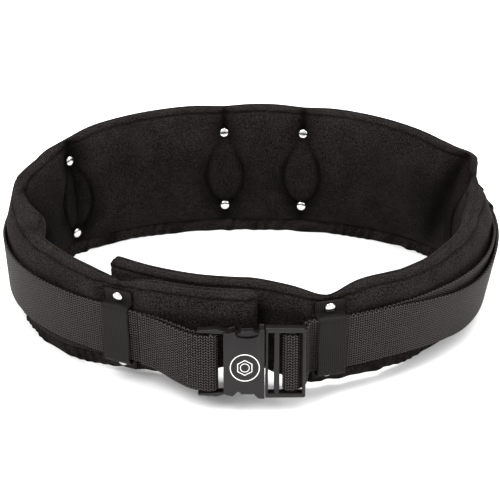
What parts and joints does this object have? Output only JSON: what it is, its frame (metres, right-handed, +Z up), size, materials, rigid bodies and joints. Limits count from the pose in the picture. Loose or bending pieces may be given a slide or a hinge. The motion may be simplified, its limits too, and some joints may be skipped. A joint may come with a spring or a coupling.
{
  "type": "tool belt",
  "caption": "Padded waist belt with a wide web held by riveted keepers, a lapped front and a side-release buckle, shown fastened.",
  "frame": {"origin": "centre of the bounding box's footprint, on the floor the belt stands on", "axes": "+X towards the wearer's right as seen from behind the belt (the buckle's tail side), -Y out of the buckle at the front, +Z up"},
  "size_m": [0.4562, 0.3612, 0.132],
  "materials": {
    "foam": "closed-cell foam, hidden inside the pad",
    "cover_fabric": "black plain-weave nylon, matt",
    "binding_tape": "black folded fabric edge, matt",
    "webbing": "black coarse woven webbing",
    "buckle_plastic": "black moulded acetal, satin",
    "nickel_plate": "bright nickel plate, domed"
  },
  "bodies": {
    "belt": {"foam_core_main": "foam", "inner_lining_main": "cover_fabric", "outer_shell_main": "cover_fabric", "bottom_hem_main": "binding_tape", "top_binding_main": "binding_tape", "web_right_with_tail": "webbing", "keeper_rear_left": "webbing", "rivet_head_rear_left_top": "nickel_plate", "rivet_head_rear_left_bottom": "nickel_plate", "rivet_cap_rear_left_top": "nickel_plate", "rivet_cap_rear_left_bottom": "nickel_plate", "keeper_back_left": "webbing", "rivet_head_back_left_top": "nickel_plate", "rivet_head_back_left_bottom": "nickel_plate", "rivet_cap_back_left_top": "nickel_plate", "rivet_cap_back_left_bottom": "nickel_plate", "keeper_back_right": "webbing", "rivet_head_back_right_top": "nickel_plate", "rivet_head_back_right_bottom": "nickel_plate", "rivet_cap_back_right_top": "nickel_plate", "rivet_cap_back_right_bottom": "nickel_plate", "keeper_rear_right": "webbing", "rivet_head_rear_right_top": "nickel_plate", "rivet_head_rear_right_bottom": "nickel_plate", "rivet_cap_rear_right_top": "nickel_plate", "rivet_cap_rear_right_bottom": "nickel_plate", "keeper_front_right": "webbing", "rivet_head_front_right_top": "nickel_plate", "rivet_head_front_right_bottom": "nickel_plate", "rivet_cap_front_right_top": "nickel_plate", "rivet_cap_front_right_bottom": "nickel_plate"},
    "left_end": {"foam_core_left": "foam", "inner_lining_left": "cover_fabric", "outer_shell_left": "cover_fabric", "bottom_hem_left": "binding_tape", "top_binding_left": "binding_tape", "web_left": "webbing", "keeper_front_left": "webbing", "rivet_head_front_left_top": "nickel_plate", "rivet_head_front_left_bottom": "nickel_plate", "rivet_cap_front_left_top": "nickel_plate", "rivet_cap_front_left_bottom": "nickel_plate"},
    "tail_end": {"web_tail_end": "webbing"},
    "buckle_socket": {"buckle_female_body": "buckle_plastic"},
    "buckle_plug": {"buckle_male_frame": "buckle_plastic"},
    "prong_upper": {"buckle_prong_upper": "buckle_plastic"},
    "prong_lower": {"buckle_prong_lower": "buckle_plastic"}
  },
  "joints": [
    {"name": "left_end_swing", "type": "hinge", "parent": "belt", "child": "left_end", "pos_m": [-0.22878, 0.00684, 0.0544], "axis": [0, 0, 1], "range_deg": [-70, 0], "deforming": ["buckle_prong_upper", "buckle_prong_lower"]},
    {"name": "socket_pivot", "type": "hinge", "parent": "left_end", "child": "buckle_socket", "pos_m": [-0.03394, -0.17021, 0.0455], "axis": [0, 0.1045, 0.9945], "range_deg": [-18, 0]},
    {"name": "plug_pivot", "type": "hinge", "parent": "belt", "child": "buckle_plug", "pos_m": [0.03206, -0.17021, 0.0455], "axis": [0, 0.1045, 0.9945], "range_deg": [0, 4]},
    {"name": "prong_upper_flex", "type": "hinge", "parent": "buckle_plug", "child": "prong_upper", "pos_m": [0.01006, -0.1677, 0.06937], "axis": [0, -0.9945, 0.1045], "range_deg": [0, 6], "stiffness_Nm_per_rad": 0.05},
    {"name": "prong_lower_flex", "type": "hinge", "parent": "buckle_plug", "child": "prong_lower", "pos_m": [0.01006, -0.17272, 0.02163], "axis": [0, 0.9945, -0.1045], "range_deg": [0, 6], "stiffness_Nm_per_rad": 0.05},
    {"name": "tail_end_swing", "type": "hinge", "parent": "belt", "child": "tail_end", "pos_m": [0.21432, 0.0766, 0.0586], "axis": [0, 0, 1], "range_deg": [-40, 0]}
  ],
  "couplings": [
    {"joint": "socket_pivot", "follows": "left_end_swing", "ratio": 0.25},
    {"joint": "plug_pivot", "follows": "left_end_swing", "ratio": -0.04}
  ]
}
